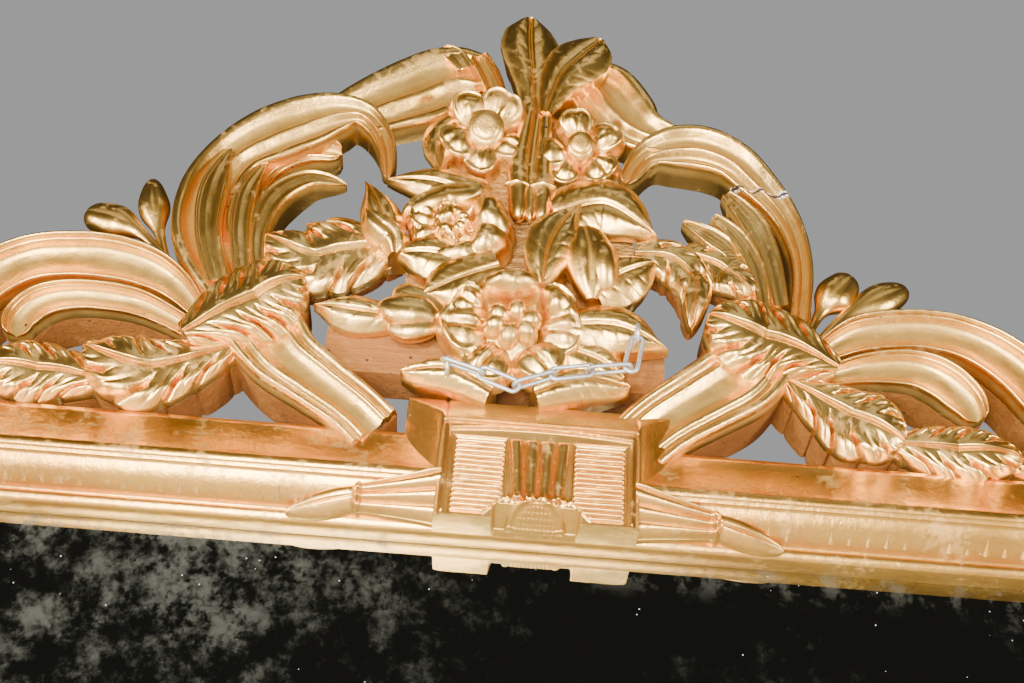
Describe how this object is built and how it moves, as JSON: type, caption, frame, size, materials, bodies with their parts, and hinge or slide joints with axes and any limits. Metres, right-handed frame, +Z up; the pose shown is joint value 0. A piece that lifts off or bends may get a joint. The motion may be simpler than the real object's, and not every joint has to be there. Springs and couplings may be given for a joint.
{
  "type": "overmantel wall mirror",
  "caption": "Tall rectangular giltwood wall mirror with a moulded frame and a pierced carved crest of scrolls, acanthus leaves and flowers, hung with a short chain.",
  "frame": {"origin": "middle of the bottom edge of the frame's flat back, which lies against the wall", "axes": "+X to the viewer's right, +Y into the wall, +Z up; the front faces -Y"},
  "size_m": [1.18, 0.0971, 1.8606],
  "materials": {
    "gilt_wood": "water gilding over red bole on carved wood and gesso, rubbed and chipped",
    "pine": "bare aged pine",
    "ochre_wood": "sawn pine washed with ochre",
    "iron": "dark wrought iron",
    "zinc": "dull zinc-plated steel wire",
    "mirror": "old silvered plate glass, foxed"
  },
  "bodies": {
    "frame": {"back_board_1": "pine", "back_board_2": "pine", "back_board_3": "pine", "back_board_4": "pine", "back_board_nails": "iron", "back_screws": "iron", "base_leaves": "gilt_wood", "block_medallion": "gilt_wood", "bottom_rail": "pine", "bud_branch_left": "gilt_wood", "bud_spray_left": "gilt_wood", "bud_spray_right": "gilt_wood", "central_flower": "gilt_wood", "centre_block": "gilt_wood", "chain_eyes": "zinc", "cluster_leaves_left": "gilt_wood", "cluster_leaves_right": "gilt_wood", "corner_pegs": "pine", "crest_batten_left": "pine", "crest_batten_right": "pine", "crest_board": "ochre_wood", "fan_left": "gilt_wood", "fan_right": "gilt_wood", "flower_upper_left": "gilt_wood", "flower_upper_right": "gilt_wood", "glazing_blocks": "pine", "hanging_leaf_left": "gilt_wood", "hanging_leaf_right": "gilt_wood", "hanging_plates": "iron", "inner_leaf_left": "gilt_wood", "inner_leaf_right": "gilt_wood", "knot_leaf_left": "gilt_wood", "knot_leaf_right": "gilt_wood", "left_stile": "pine", "leg_left": "gilt_wood", "leg_right": "gilt_wood", "mirror_glass": "mirror", "mitre_keys": "gilt_wood", "moulding_bottom": "gilt_wood", "moulding_left": "gilt_wood", "moulding_right": "gilt_wood", "moulding_top": "gilt_wood", "outer_leaf_left": "gilt_wood", "outer_leaf_right": "gilt_wood", "reed_ornament_left": "gilt_wood", "reed_ornament_right": "gilt_wood", "right_stile": "pine", "rose": "gilt_wood", "scroll_left": "gilt_wood", "scroll_right": "gilt_wood", "side_scroll_lower_left": "gilt_wood", "side_scroll_lower_right": "gilt_wood", "side_scroll_upper_left": "gilt_wood", "side_scroll_upper_right": "gilt_wood", "stem_bundle": "gilt_wood", "top_leaves": "gilt_wood", "top_rail": "pine", "tulip_bud": "gilt_wood"},
    "chain": {"chain_span": "zinc"}
  },
  "joints": [
    {"name": "chain_swing", "type": "hinge", "parent": "frame", "child": "chain", "pos_m": [-0.053, -0.086, 1.487], "axis": [-0.965, 0, -0.2623], "range_deg": [0, 40]}
  ]
}
